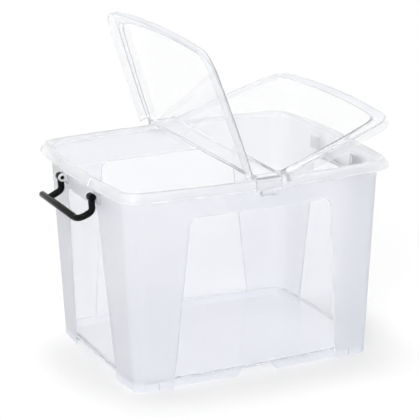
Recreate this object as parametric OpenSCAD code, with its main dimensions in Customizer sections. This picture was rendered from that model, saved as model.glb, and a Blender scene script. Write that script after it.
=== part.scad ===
// Portable file box: a tapered clear tub, two lid flaps hinged on a spine, and two bail handles.
// Millimetres. +X runs along the long side, the front faces -Y, +Z is up.
// The origin is on the ground under the middle of the box.

/* [Tub] */
// Length over the rim's lip, at the middle of the bowed ends
tub_l = 450; // [420:1:520]
// Width over the rim's lip, at the middle of the bowed sides
tub_w = 370; // [330:1:430]
// Height of the tub, to the top of its rim
tub_h = 305; // [240:1:380]
// How much shorter each end of the base is than the rim's lip
base_in_x = 29.5; // [20:0.5:36]
// How much narrower each side of the base is than the rim's lip
base_in_y = 33; // [24:0.5:40]
// Thickness of the tub's walls and floor
tub_wall = 2.2; // [1.6:0.1:3]
// Height of the hollow under the floor
foot_h = 13; // [9:0.5:18]
// Bulge of the ends at the rim
end_bow = 8; // [2:0.5:12]
// Bulge of the long sides at the rim
side_bow = 11; // [3:0.5:14]
// Corner radius at the rim's lip
rim_r = 32; // [24:1:44]
// Corner radius at the base
base_r = 20; // [14:1:30]

/* [Rim] */
// Height of the flared rim, from its lip to its top
rim_drop = 14; // [10:0.5:20]
// How far the lip stands out from the wall below it
rim_out = 12; // [11:0.5:16]
// Width of the flat top of the rim
rim_top_w = 3.4; // [2.6:0.2:5]

/* [Windows] */
// Depth of the clear windows below the frosted corners
window_deep = 1.6; // [0.8:0.1:2.4]
// Distance from the rim's top down to the windows' top edge
window_down = 47; // [40:1:70]
// Width of the front window at its top edge
front_window_w = 222; // [160:1:250]
// Width of an end window at its top edge
end_window_w = 114; // [80:1:150]
// How far a window's side edge leans out, for each millimetre down
window_lean = 0.084; // [0.04:0.002:0.11]
// Radius of the windows' top corners
window_r = 11; // [5:1:18]

/* [Foot] */
// Width of the centre notch in the long sides, at the ground
notch_w = 68; // [40:1:100]
// Height of the step between the corner feet and the long sides
foot_step = 2; // [1:0.5:4]

/* [Lid] */
// Distance between the two hinge axes
hinge_gap = 40; // [34:1:60]
// Angle that the left flap stands open
open_left = 71.3; // [0:0.1:90]
// Angle that the right flap stands open
open_right = 18.5; // [0:0.1:90]
// Thickness of the lid's plastic
lid_wall = 1.8; // [1.4:0.1:2.6]
// Depth of the lid's skirt below its flange
skirt_h = 10; // [6:0.5:11]
// Width of the flange along a flap's free end
flange_end_w = 14; // [10:0.5:20]
// Width of the flange along a flap's sides
flange_side_w = 6; // [4:0.5:10]
// Height of the flap's panel above its flange at the free end
panel_rise = 5.6; // [4:0.2:8]
// Radius of the bead along a flap's hinge edge
bead_r = 2.6; // [2.2:0.1:3.2]
// Radius of the lid's hinge pins
lid_pin_r = 2; // [1.6:0.1:2.2]
// Length of the lid's hinge pins
lid_pin_l = 11; // [7:0.5:13]

/* [Handles] */
// Distance between the middles of a handle's two arms
arm_gap = 120; // [90:1:150]
// Radius of the grip and the arms
grip_r = 5.2; // [4.4:0.1:5.6]
// How far the grip passes the arm at its long end
grip_over = 24; // [0:1:34]
// Height of a handle's pivot below the rim's top
pivot_down = 29; // [25:1:40]
// Radius of the handles' pins
handle_pin_r = 3; // [2.2:0.1:3.6]
// Thickness of each cheek that holds a handle's pin
cheek_w = 3; // [2:0.2:4]

/* [Fits] */
// Radial clearance of the pins in their bores
pin_fit = 0.06; // [0.02:0.01:0.1]
// Gap between pieces that lie against each other
seat_gap = 0.4; // [0.3:0.1:0.8]

/* [Hidden] */
$fn = 48;
cut = 1;                                // how far cutters pass the faces that they open
clear_plastic = [0.90, 0.93, 0.96, 0.45];
black_plastic = [0.05, 0.05, 0.06];

// Half sizes of the lip and of the wall under it
lip_x = tub_l / 2;
lip_y = tub_w / 2;
lip_z = tub_h - rim_drop;
arc_steps = 7;                          // points round a corner
side_steps = 4;                         // spans across a window
base_bow = 0.6;                         // share of the bow that is left at the ground
edge_lean = 1.2;                        // width of the slope at a window's edge

// Places of the lid above the rim
lid_z = tub_h + seat_gap;               // underside of the lid's flange
knuckle_r = lid_pin_r + 2;              // radius of a knuckle round a lid pin
hinge_x = hinge_gap / 2;
hinge_z = lid_z + knuckle_r;
knuckle_y = lip_y - 16.6;               // inner face of the knuckles
pin_room = 0.6;                         // room past the end of a pin
lid_over = 2;                           // how far the skirt's edge stands outside the lip
tab_y = lip_y + lid_over + lid_wall;    // outer face of the spine's end tabs

// Places of the handles
barrel_r = grip_r + 0.8;
arm_r = grip_r - 0.3;
pivot_x = lip_x - 6;
pivot_z = tub_h - pivot_down;
arm_y = arm_gap / 2;
arm_drop = end_bow * pow(arm_y / (lip_y - side_bow - rim_r), 2);    // bow of the rim's end at an arm
barrel_w = 2 * grip_r + 0.6;
cheek_r = handle_pin_r + 2.9;
lean_in = 4;                            // lean of the upper arms, in to the wall
drop_h = 21;                            // height from the pivot to the knee's corner
dip = 24.5;                             // slope of the lower arms below level
bend = 90 + lean_in - dip;              // turn of the knee
knee_r = 8;
reach = 24;                             // length of the lower arm, to the grip's middle
elbow_r = 13;
rib_step = 2.8;                         // spacing of the thin ribs on the lower arms
collar_w = 1.2;                         // width of a rib
collar_r = arm_r + 0.3;                 // radius of a rib

// ---- outlines ----------------------------------------------------------

function mix(a, b, t) = a + (b - a) * t;

// Mean of a list of points
function middle(points) = [for (i = [0 : 2]) [for (p = points) p[i]] * [for (p = points) 1] / len(points)];

// Points along one bowed side, from one corner to the other. s is the distance along the side,
// d the distance out from the middle of the box. w is half the window's width.
function side_points(span, out, drop, w, deep) =
    let (
        marks = concat(
            [-span, -(span + w) / 2, -(w + edge_lean)],
            [for (i = [0 : side_steps]) mix(-w, w, i / side_steps)],
            [w + edge_lean, (span + w) / 2, span]))
    [for (s = marks)
        [s, out - drop * pow(s / span, 2) - (abs(s) <= w + 0.001 ? deep : 0)]];

// Angle at which a bowed side runs into its corner
function lead(bow, run) = atan(2 * bow / run);

// A rounded rectangle with bowed sides. ax and ay are half sizes over the bows, r the corner
// radius, bx and by the bows, wx and wy half widths of the windows, deep their depth.
function outline(ax, ay, r, bx, by, wx, wy, deep) =
    let (
        cx = ax - bx - r,
        cy = ay - by - r,
        fx = lead(by, cx),
        fy = lead(bx, cy),
        span_x = cx + r * sin(fx),
        span_y = cy + r * sin(fy),
        front = side_points(span_x, ay, ay - cy - r * cos(fx), wx, deep),
        end = side_points(span_y, ax, ax - cx - r * cos(fy), wy, deep),
        arc = [for (i = [1 : arc_steps - 1]) mix(-90 + fx, -fy, i / arc_steps)])
    concat(
        [for (p = front) [p[0], -p[1]]],
        [for (a = arc) [cx + r * cos(a), -cy + r * sin(a)]],
        [for (p = end) [p[1], p[0]]],
        [for (a = arc) [cx - r * sin(a), cy + r * cos(a)]],
        [for (p = front) [-p[0], p[1]]],
        [for (a = arc) [-cx - r * cos(a), cy - r * sin(a)]],
        [for (p = end) [-p[1], -p[0]]],
        [for (a = arc) [-cx + r * sin(a), -cy - r * cos(a)]]);

// A closed skin over a stack of rings, each ring a list of points at the same places. Its two
// ends are flat fans round the ring's middle.
module skin(rings) {
    n = len(rings[0]);
    last = len(rings) - 1;
    count = n * (last + 1);
    ends = [middle(rings[0]), middle(rings[last])];
    points = concat([for (ring = rings) each ring], ends);
    walls = [for (k = [0 : last - 1]) for (i = [0 : n - 1])
        let (a = k * n + i, b = k * n + (i + 1) % n)
        each [[a, a + n, b], [b, a + n, b + n]]];
    floor_face = [for (i = [0 : n - 1]) [i, (i + 1) % n, count]];
    top_face = [for (i = [0 : n - 1]) [last * n + (i + 1) % n, last * n + i, count + 1]];
    polyhedron(points = points, faces = concat(floor_face, walls, top_face));
}

// ---- tub ---------------------------------------------------------------

// Share of the way from the ground to the lip
function rise(z) = z / lip_z;

// Half width of a window at a height, with its rounded top corners
function window_half(top_w, z) =
    let (
        top = tub_h - window_down,
        lean = top_w / 2 + window_lean * (top - min(z, top)),
        up = max(0, min(z, top) - (top - window_r)))
    lean - (window_r - sqrt(max(0, window_r * window_r - up * up)));

// Ring of the wall at a height, moved in by a wall thickness, with the windows deep below it
function wall_ring(z, in_by, deep, at_z) =
    let (
        t = rise(z),
        bow_share = mix(base_bow, 1, t),
        ax = mix(lip_x - base_in_x, lip_x - rim_out, t) - in_by,
        ay = mix(lip_y - base_in_y, lip_y - rim_out - 3, t) - in_by,
        ring = outline(ax, ay, mix(base_r, rim_r, t) - in_by, end_bow * bow_share,
            side_bow * bow_share, window_half(front_window_w, z), window_half(end_window_w, z), deep))
    [for (p = ring) [p[0], p[1], at_z]];

// Ring of the rim, moved in from the lip
function rim_ring(in_by, z) =
    let (ring = outline(lip_x - in_by, lip_y - in_by, rim_r - in_by / 2, end_bow, side_bow,
        window_half(front_window_w, tub_h), window_half(end_window_w, tub_h), 0))
    [for (p = ring) [p[0], p[1], z]];

// Heights of the wall rings, closer together round the windows' top corners
window_top = tub_h - window_down;
window_steps = [window_top - window_r, window_top - window_r * 0.5, window_top - window_r * 0.13,
    window_top];
under_rim = tub_h - 3.4;
rim_in = rim_out - 1.5;                 // inner edge of the rim's top, in from the lip

module tub_shell() {
    inner_edge = rim_ring(rim_in, tub_h - 1);
    skin(concat(
        [wall_ring(foot_h, tub_wall, window_deep, foot_h),
         wall_ring(0, tub_wall, window_deep, 0),
         wall_ring(0, 0, window_deep, 0)],
        [for (z = window_steps) wall_ring(z, 0, window_deep, z)],
        [wall_ring(window_top + edge_lean, 0, 0, window_top + edge_lean),
         wall_ring(under_rim, 0, 0, under_rim),
         rim_ring(rim_in - rim_top_w, under_rim + 1),
         rim_ring(tub_wall, lip_z),
         rim_ring(0.3, lip_z),
         rim_ring(0, lip_z + 0.6),
         rim_ring(0, lip_z + 1.6),
         rim_ring(rim_in - rim_top_w - 0.6, tub_h - 1.4),
         rim_ring(rim_in - rim_top_w + 0.8, tub_h),
         rim_ring(rim_in - 1, tub_h),
         inner_edge,
         wall_ring(under_rim - 2, tub_wall, 0, under_rim - 2),
         wall_ring(window_top + edge_lean, tub_wall, 0, window_top + edge_lean)],
        [for (i = [len(window_steps) - 1 : -1 : 0])
            wall_ring(window_steps[i], tub_wall, window_deep, window_steps[i])],
        [wall_ring(foot_h + tub_wall, tub_wall, window_deep, foot_h + tub_wall)]));
}

// What is cut away under the walls, so that the box stands on its four corners
module foot_cuts() {
    front_half = window_half(front_window_w, 0);
    end_half = window_half(end_window_w, 0);
    notch_top = foot_h - 0.6;
    notch_lean = notch_top * 0.7;
    translate([-front_half, -tub_w, -cut])
        cube([2 * front_half, 2 * tub_w, cut + foot_step]);
    rotate([90, 0, 0])
        linear_extrude(height = 2 * tub_w, center = true)
            polygon([[-notch_w / 2, -cut], [notch_w / 2, -cut], [notch_w / 2, 0],
                [notch_w / 2 - notch_lean, notch_top], [notch_lean - notch_w / 2, notch_top],
                [-notch_w / 2, 0]]);
    translate([-tub_l, -end_half, -cut])
        cube([2 * tub_l, 2 * end_half, cut + notch_top - 1]);
}

// The cheek and pad under the rim, on the +X end, that carry one arm of a handle. The cheek
// stands beside the arm, on its inward side along Y.
module handle_lug(inward) {
    wall_x = lip_x - rim_out - arm_drop;
    pad_x = pivot_x - barrel_r - 1;
    pad_back = wall_x - 4;
    lug_w = barrel_w / 2 + seat_gap;
    translate([0, inward * (lug_w + cheek_w / 2), 0]) {
        translate([pivot_x, 0, pivot_z])
            rotate([90, 0, 0])
                cylinder(h = cheek_w, r = cheek_r, center = true);
        translate([pad_back, -cheek_w / 2, pivot_z - cheek_r])
            cube([pivot_x - pad_back, cheek_w, 2 * cheek_r]);
    }
    translate([pad_back, -lug_w - cheek_w - 4, pivot_z - cheek_r - 5])
        cube([pad_x - pad_back, 2 * (lug_w + cheek_w + 4), 2 * cheek_r + 8]);
}

// A thin upright ridge on the flare of the rim, above each arm of a handle
module rim_ridge() {
    flare = atan((rim_in - rim_top_w) / (rim_drop - 3));
    translate([lip_x - arm_drop - 0.9, 0, lip_z + 1])
        rotate([0, -flare, 0])
            translate([0, -0.6, 0])
                cube([1.4, 1.2, rim_drop - 2.6]);
}

// A block as wide as the box at the middle of its wall, that trims what is set on the wall
module wall_core() {
    skin([wall_ring(tub_h / 2, tub_wall / 2, 0, tub_h / 2),
        wall_ring(under_rim, tub_wall / 2, 0, under_rim)]);
}

module tub() {
    color(clear_plastic)
        difference() {
            union() {
                tub_shell();
                difference() {
                    for (end = [0, 180], y = [-arm_y, arm_y])
                        rotate([0, 0, end])
                            translate([0, y, 0])
                                handle_lug(-sign(y));
                    wall_core();
                }
                for (end = [0, 180], y = [-arm_y, arm_y])
                    rotate([0, 0, end])
                        translate([0, y, 0])
                            rim_ridge();
            }
            foot_cuts();
            for (end = [0, 180], y = [-arm_y, arm_y])
                rotate([0, 0, end])
                    translate([pivot_x, y, pivot_z])
                        rotate([90, 0, 0])
                            cylinder(h = barrel_w + 4 * cheek_w, r = handle_pin_r + pin_fit, center = true);
        }
}

// ---- lid ---------------------------------------------------------------

spine_half = hinge_x - bead_r - 1;      // half width of the spine between the flaps
spine_top = hinge_z + 1;
lid_bore_l = lid_pin_l + pin_room;
knuckle_l = lid_bore_l + 2;

// Section of the spine's end tab, that bends over the rim and hooks under its lip.
// x is the distance out from the middle of the box, y the height.
module tab_section(hook) {
    inner_y = lip_y + seat_gap;
    hook_z = lip_z - seat_gap;
    polygon(concat(
        [[knuckle_y, spine_top], [tab_y - 2.6, spine_top], [tab_y - 0.8, spine_top - 2.4]],
        hook ? [[tab_y, lip_z], [tab_y - 0.6, lip_z - 8], [lip_y - 3, lip_z - 7],
            [lip_y - 4.4, hook_z], [inner_y, hook_z]]
            : [[tab_y, lip_z], [inner_y, lip_z]],
        [[inner_y, tub_h - 4], [lip_y - 3, lid_z], [knuckle_y, lid_z]]));
}

// One end of the spine, on the +Y side
module spine_end() {
    tab_half = hinge_x;
    hook_half = 0.6 * hinge_x;
    rib_half = 0.5;
    for (part = [[tab_half, false], [hook_half, true]])
        translate([-part[0], 0, 0])
            rotate([90, 0, 90])
                linear_extrude(height = 2 * part[0])
                    tab_section(part[1]);
    for (x = [-hinge_x, hinge_x])
        translate([x, knuckle_y, hinge_z])
            rotate([-90, 0, 0])
                cylinder(h = knuckle_l, r = knuckle_r);
    for (x = [0.25, 0.5, 0.75])
        translate([x * hinge_x - rib_half, tab_y - 1.4, lip_z + 1])
            cube([2 * rib_half, 1.8, rim_drop - 3]);
}

module lid_spine() {
    color(clear_plastic)
        difference() {
            union() {
                translate([-spine_half, -knuckle_y - cut, spine_top - lid_wall])
                    cube([2 * spine_half, 2 * (knuckle_y + cut), lid_wall]);
                for (side = [-1, 1])
                    translate([side * (spine_half - lid_wall / 2) - lid_wall / 2, -knuckle_y - cut, lid_z])
                        cube([lid_wall, 2 * (knuckle_y + cut), spine_top - lid_z]);
                spine_end();
                mirror([0, 1, 0])
                    spine_end();
            }
            for (x = [-hinge_x, hinge_x], side = [0, 1])
                mirror([0, side, 0])
                    translate([x, knuckle_y - cut, hinge_z])
                        rotate([-90, 0, 0])
                            cylinder(h = lid_bore_l + cut, r = lid_pin_r + pin_fit);
        }
}

// Half outline of a flap, seen from above, measured from its hinge axis. over is added to the
// lip's half sizes, end_in and side_in are taken off the free end and the sides.
function flap_outline(over, end_in, side_in, x0) =
    let (
        ax = lip_x + over - end_in,
        ay = lip_y + over - side_in,
        r = rim_r - side_in / 2,
        cx = ax - end_bow - r,
        cy = ay - side_bow - r,
        fx = lead(side_bow, cx),
        fy = lead(end_bow, cy),
        span_x = cx + r * sin(fx),
        span_y = cy + r * sin(fy),
        drop_x = ay - cy - r * cos(fx),
        drop_y = ax - cx - r * cos(fy),
        xs = [for (i = [0 : 8]) mix(hinge_x + x0, span_x, i / 8)],
        ys = [for (i = [0 : 12]) mix(-span_y, span_y, i / 12)],
        arc = [for (i = [1 : arc_steps - 1]) mix(-90 + fx, -fy, i / arc_steps)],
        full = concat(
            [for (x = xs) [x, -(ay - drop_x * pow(x / span_x, 2))]],
            [for (a = arc) [cx + r * cos(a), -cy + r * sin(a)]],
            [for (y = ys) [ax - drop_y * pow(y / span_y, 2), y]],
            [for (a = arc) [cx - r * sin(a), cy + r * cos(a)]],
            [for (i = [8 : -1 : 0]) [xs[i], ay - drop_x * pow(xs[i] / span_x, 2)]]))
    [for (p = full) [p[0] - hinge_x, p[1]]];

function flap_ring(over, end_in, side_in, x0, z, lean) =
    [for (p = flap_outline(over, end_in, side_in, x0)) [p[0], p[1], z + lean * p[0]]];

// A flap as it lies closed, its hinge axis on the Y axis, reaching along +X
module flap() {
    under = lid_z - hinge_z;
    top = under + lid_wall;
    edge = under - skirt_h;
    step = 5;                           // width of the slope up to the panel
    panel_0 = bead_r - 1.2;             // top of the panel at the hinge
    free_u = lip_x - hinge_x - flange_end_w - step;
    lean = (top + panel_rise - panel_0) / free_u;
    outer_x = -12;
    inner_x = outer_x + lid_wall;
    fold = lid_wall * 0.5;
    pin_half = knuckle_y - seat_gap;
    difference() {
        skin([
            flap_ring(0, flange_end_w + step + fold, flange_side_w + step + fold, inner_x,
                panel_0 - lid_wall, lean),
            flap_ring(0, flange_end_w + fold, flange_side_w + fold, inner_x + 1, under, 0),
            flap_ring(-lid_wall, 0, 0, inner_x, under, 0),
            flap_ring(lid_over - lid_wall, 0, 0, inner_x, edge, 0),
            flap_ring(lid_over, 0, 0, outer_x, edge, 0),
            flap_ring(0.4, 0, 0, outer_x, top - 0.8, 0),
            flap_ring(-0.5, 0, 0, outer_x, top, 0),
            flap_ring(0, flange_end_w, flange_side_w, outer_x + 1, top, 0),
            flap_ring(0, flange_end_w + step, flange_side_w + step, outer_x, panel_0, lean)]);
        translate([-tub_l, -tub_w, -tub_h])
            cube([tub_l + 1.2, 2 * tub_w, 2 * tub_h]);
        for (side = [0, 1])
            mirror([0, side, 0])
                translate([-tub_l, pin_half, -tub_h])
                    cube([tub_l + knuckle_r + 1, tub_w, 2 * tub_h]);
    }
    rotate([90, 0, 0])
        cylinder(h = 2 * pin_half, r = bead_r, center = true);
    rotate([90, 0, 0])
        cylinder(h = 2 * (knuckle_y + lid_pin_l), r = lid_pin_r, center = true);
}

module flap_right() {
    color(clear_plastic)
        translate([hinge_x, 0, hinge_z])
            rotate([0, -open_right, 0])
                flap();
}

module flap_left() {
    color(clear_plastic)
        mirror([1, 0, 0])
            translate([hinge_x, 0, hinge_z])
                rotate([0, -open_left, 0])
                    flap();
}

// ---- handles -----------------------------------------------------------

// The handle hanging at the -X end, with its pivot on the Y axis. Its pins point to each other.
// The grip turns the corner at its -Y end and runs past the arm at its +Y end.
module handle() {
    straight = drop_h - knee_r * tan(bend / 2);
    for (y = [-arm_y, arm_y])
        translate([0, y, 0]) {
            rotate([sign(y) * 90, 0, 0]) {
                cylinder(h = barrel_w, r = barrel_r, center = true);
                cylinder(h = barrel_w / 2 + seat_gap + cheek_w, r = handle_pin_r);
            }
            rotate([0, 180 - lean_in, 0]) {
                cylinder(h = straight, r = arm_r);
                translate([0, 0, straight - collar_w / 2])
                    cylinder(h = collar_w, r = collar_r);
            }
            rotate([0, -lean_in, 0])
                translate([-knee_r, 0, -straight])
                    rotate([90, 0, 0])
                        rotate([0, 0, -bend])
                            rotate_extrude(angle = bend)
                                translate([knee_r, 0])
                                    circle(r = arm_r);
        }
    rotate([0, -lean_in, 0])
        translate([0, 0, -drop_h])
            rotate([0, bend - 90, 0])
                grip();
}

// The lower arms and the grip, flat in the XY plane, reaching along -X from the knees' corner
module grip() {
    knee_cut = knee_r * tan(bend / 2);
    end_taper = 2;
    grip_l = 2 * arm_y - elbow_r + grip_over;
    translate([-reach, arm_y, 0])
        rotate([0, 90, 0])
            cylinder(h = reach - knee_cut, r = arm_r);
    translate([elbow_r - reach, -arm_y, 0])
        rotate([0, 90, 0]) {
            cylinder(h = reach - elbow_r - knee_cut, r = arm_r);
            translate([0, 0, -collar_w / 2])
                cylinder(h = collar_w, r = collar_r);
        }
    translate([elbow_r - reach, elbow_r - arm_y, 0])
        rotate([0, 0, 180])
            rotate_extrude(angle = 90)
                translate([elbow_r, 0])
                    circle(r = arm_r);
    translate([-reach, elbow_r - arm_y - collar_w / 2, 0])
        rotate([-90, 0, 0])
            cylinder(h = grip_l + collar_w / 2, r = grip_r);
    translate([-reach, elbow_r - arm_y + grip_l, 0])
        rotate([-90, 0, 0])
            cylinder(h = end_taper, r1 = grip_r, r2 = grip_r - end_taper);
    for (y = [-arm_y, arm_y], i = [0 : 2])
        translate([-knee_cut - i * rib_step - collar_w / 2, y, 0])
            rotate([0, 90, 0])
                cylinder(h = collar_w, r = collar_r);
}

module handle_left() {
    color(black_plastic)
        translate([-pivot_x, 0, pivot_z])
            handle();
}

module handle_right() {
    color(black_plastic)
        mirror([1, 0, 0])
            translate([-pivot_x, 0, pivot_z])
                handle();
}

tub();
lid_spine();
flap_left();
flap_right();
handle_left();
handle_right();
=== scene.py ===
# %% [markdown]
# # A clear portable file box
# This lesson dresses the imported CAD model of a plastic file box. The real one is six mouldings:
# a tub, a spine that clips across its mouth, two lid flaps and two bail handles. The tub and the
# lid are clear polypropylene, polished in some places and frosted in others, so most of the work
# goes into smooth thin walls and into how light passes through them.

import math

import bmesh
import bpy
from mathutils import Matrix, Vector


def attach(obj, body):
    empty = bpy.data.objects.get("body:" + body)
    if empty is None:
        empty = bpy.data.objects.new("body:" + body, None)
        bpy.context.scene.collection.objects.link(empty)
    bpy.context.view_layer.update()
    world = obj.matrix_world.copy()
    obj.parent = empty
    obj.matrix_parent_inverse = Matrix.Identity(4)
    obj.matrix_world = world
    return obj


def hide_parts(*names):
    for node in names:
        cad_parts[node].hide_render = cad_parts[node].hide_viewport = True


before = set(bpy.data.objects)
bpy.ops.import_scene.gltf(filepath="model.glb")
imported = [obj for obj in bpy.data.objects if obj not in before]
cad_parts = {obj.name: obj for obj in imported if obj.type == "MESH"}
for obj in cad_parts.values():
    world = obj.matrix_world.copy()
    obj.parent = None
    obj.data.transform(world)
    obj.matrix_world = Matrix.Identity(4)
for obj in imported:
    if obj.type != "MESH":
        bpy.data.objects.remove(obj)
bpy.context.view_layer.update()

# %% [markdown]
# ## The camera
# The photograph was taken from the front left, a little above the rim, with a long lens. A fit
# of the box's known corners to the picture gave the place, the three angles and the focal length
# below. The camera is built from those angles, so that the numbers stay readable.

# %% The camera
CAMERA_PLACE = Vector((-1.158764, -2.419038, 1.032312))
AZIMUTH, ELEVATION, ROLL = (math.radians(a) for a in (-25.52734, 17.03741, -0.32441))
FOCAL_MM, SENSOR_MM = 159.807, 36
NEAREST, FARTHEST = 0.05, 60            # metres between which the camera sees

back = Vector((
    math.sin(AZIMUTH) * math.cos(ELEVATION),
    -math.cos(AZIMUTH) * math.cos(ELEVATION),
    math.sin(ELEVATION),
))
level_right = (-back).cross(Vector((0, 0, 1))).normalized()
level_up = level_right.cross(-back)
right = level_right * math.cos(ROLL) + level_up * math.sin(ROLL)
up = level_up * math.cos(ROLL) - level_right * math.sin(ROLL)

camera = bpy.data.objects.new("camera", bpy.data.cameras.new("camera"))
bpy.context.scene.collection.objects.link(camera)
turned = Matrix((right, up, back)).transposed().to_4x4()
camera.matrix_world = Matrix.Translation(CAMERA_PLACE) @ turned
camera.data.lens = FOCAL_MM
camera.data.sensor_width = SENSOR_MM
camera.data.clip_start, camera.data.clip_end = NEAREST, FARTHEST
bpy.context.scene.camera = camera
print("camera", tuple(round(c, 3) for c in camera.location), camera.data.lens, "mm")

# %% [markdown]
# ## Sizes
# The pieces follow the CAD model, so its main sizes come first, in millimetres. Everything is
# worked out in millimetres and made metres in one place, when a piece is finished.

# %% Sizes of the tub and the lid
LIP = Vector((225.0, 185.0))            # half length and half width over the rim's lip
LIP_Z, TOP_Z = 291.0, 305.0             # the lip and the top of the rim
WALL = 2.2
BASE_HALF, BASE_R = Vector((195.5, 152.0)), 20.0
WALL_HALF, RIM_R = Vector((213.0, 170.0)), 32.0
BOW = Vector((8.0, 11.0))               # bulge of the ends and of the long sides at the rim
BASE_BOW = 0.6                          # share of the bulge left at the ground
FLOOR_Z = 13.0
WINDOW_TOP, WINDOW_R, WINDOW_LEAN, WINDOW_DEEP = 258.0, 11.0, 0.084, 1.6
LONG_WINDOW, END_WINDOW = 111.0, 57.0   # half widths at the windows' top edge
HINGE_X, HINGE_Z = 20.0, 309.4
PIVOT_X, PIVOT_Z, ARM_Y = 219.0, 276.0, 60.0
OPEN_LEFT, OPEN_RIGHT = 71.3, 18.5      # how far the flaps stand open, in degrees
print("lip", LIP.x * 2, "x", LIP.y * 2, "mm, rim at", TOP_Z)


def mix(a, b, t):
    return a + (b - a) * t


# %% [markdown]
# ## Helpers
# Most of these mouldings are thin skins with the same outline at every height, so they are made
# the way one would bend sheet: a grid is created with the operator, and its rows are laid on a
# list of rings. The seam is then closed by merging. A grid keeps rows and columns in order,
# which makes it easy to give single cells another material.

# %% A grid laid on rings
MM = 0.001


def lay_grid(bm, rows, closed, cell_material=None):
    """A grid of quads with its rows on rows, lists of points in millimetres."""
    across = len(rows[0]) if closed else len(rows[0]) - 1
    along = len(rows) - 1
    made = bmesh.ops.create_grid(bm, x_segments=across, y_segments=along, size=1)
    cell_of = {}
    for v in made["verts"]:
        cell_of[v] = (round((v.co.x + 1) / 2 * across), round((v.co.y + 1) / 2 * along))
    for f in {f for v in made["verts"] for f in v.link_faces}:
        f.smooth = True
        if cell_material:
            i = min(cell_of[v][0] for v in f.verts)
            j = min(cell_of[v][1] for v in f.verts)
            f.material_index = cell_material(i, j)
    for v, (i, j) in cell_of.items():
        v.co = rows[j][i % len(rows[j])]
    if closed:
        bmesh.ops.remove_doubles(bm, verts=made["verts"], dist=1e-4)
    return cell_of


def finish_piece(name, bm, materials, body):
    """Turns a bmesh in millimetres into a finished object in metres, at the origin."""
    bmesh.ops.scale(bm, vec=(MM, MM, MM), verts=bm.verts)
    open_edges = sum(e.is_boundary for e in bm.edges)
    mesh = bpy.data.meshes.new(name)
    bm.to_mesh(mesh)
    bm.free()
    for m in materials:
        mesh.materials.append(m)
    piece = bpy.data.objects.new(name, mesh)
    bpy.context.scene.collection.objects.link(piece)
    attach(piece, body)
    print(f"{name}: {len(mesh.polygons)} faces, {open_edges} open edges")
    return piece


def smooth_all(bm, flat_from=None):
    """Smooth shading, but for faces as large as flat_from square millimetres, which stay flat."""
    for f in bm.faces:
        f.smooth = flat_from is None or f.calc_area() < flat_from


# %% [markdown]
# Three small steps come back all the time: turning something about the origin, rounding edges
# with a bevel, and closing the open ends of a sleeve. Each gets a helper, so that the settings
# that bmesh needs are written once.

# %% Shaping helpers
def turn(bm, verts, angle, axis):
    """Turns vertices about the origin, by an angle in radians."""
    bmesh.ops.rotate(bm, cent=(0, 0, 0), matrix=Matrix.Rotation(angle, 3, axis), verts=verts)


def round_edges(bm, edges, radius, segments=3):
    """Rounds edges, and gives the vertices of the roundings."""
    return bmesh.ops.bevel(bm, geom=edges, offset=radius, offset_type="OFFSET", segments=segments,
                           profile=0.5, affect="EDGES", material=-1)["verts"]


def close_ends(bm):
    """Fills every open end with one face, and gives those faces."""
    edges = [e for e in bm.edges if e.is_boundary]
    return bmesh.ops.holes_fill(bm, edges=edges, sides=0)["faces"]


# %% [markdown]
# ## Clear plastic
# Polypropylene is never quite clear. Light goes through it, a little is scattered by the haze
# inside, and the surface mirrors the room. So the material is a mix: a glass shader for the
# skin, and a pale scattering shader for the haze. Where one looks along a wall the light has a
# longer way through it, so the haze grows towards the edges with Layer Weight. Lamps would need
# very long renders to shine through glass, so for shadow rays the material is a plain see-through.

# %% Material helpers
MILK = (0.92, 0.93, 0.968)              # colour of the haze, a faint lavender
PLASTIC_IOR = 1.49
GRAIN_LOW, GRAIN_HIGH = 0.3, 0.7        # most of the noise lies between these
HAZE_FROM = 0.4                         # value of Layer Weight's Facing from which the haze grows
print("haze colour", MILK, "index of refraction", PLASTIC_IOR)


def new_material(name):
    material = bpy.data.materials.new(name)
    material.use_nodes = True
    nodes, links = material.node_tree.nodes, material.node_tree.links
    nodes.clear()
    return material, nodes, links


def map_range(nodes, links, source, low, high, to_low, to_high):
    made = nodes.new("ShaderNodeMapRange")
    made.inputs["From Min"].default_value = low
    made.inputs["From Max"].default_value = high
    made.inputs["To Min"].default_value = to_low
    made.inputs["To Max"].default_value = to_high
    links.new(source, made.inputs["Value"])
    return made.outputs["Result"]


def grain_and_bump(nodes, links, size, detail, depth):
    """Noise on the piece's own coordinates, and a bump made from it."""
    place = nodes.new("ShaderNodeTexCoord")
    noise = nodes.new("ShaderNodeTexNoise")
    noise.inputs["Scale"].default_value = size
    noise.inputs["Detail"].default_value = detail
    bump = nodes.new("ShaderNodeBump")
    bump.inputs["Distance"].default_value = depth
    links.new(place.outputs["Object"], noise.inputs["Vector"])
    links.new(noise.outputs["Fac"], bump.inputs["Height"])
    return noise.outputs["Fac"], bump.outputs["Normal"]


def mix_shaders(nodes, links, share, first, second):
    made = nodes.new("ShaderNodeMixShader")
    if isinstance(share, float):
        made.inputs["Fac"].default_value = share
    else:
        links.new(share, made.inputs["Fac"])
    links.new(first, made.inputs[1])
    links.new(second, made.inputs[2])
    return made.outputs[0]


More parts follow.
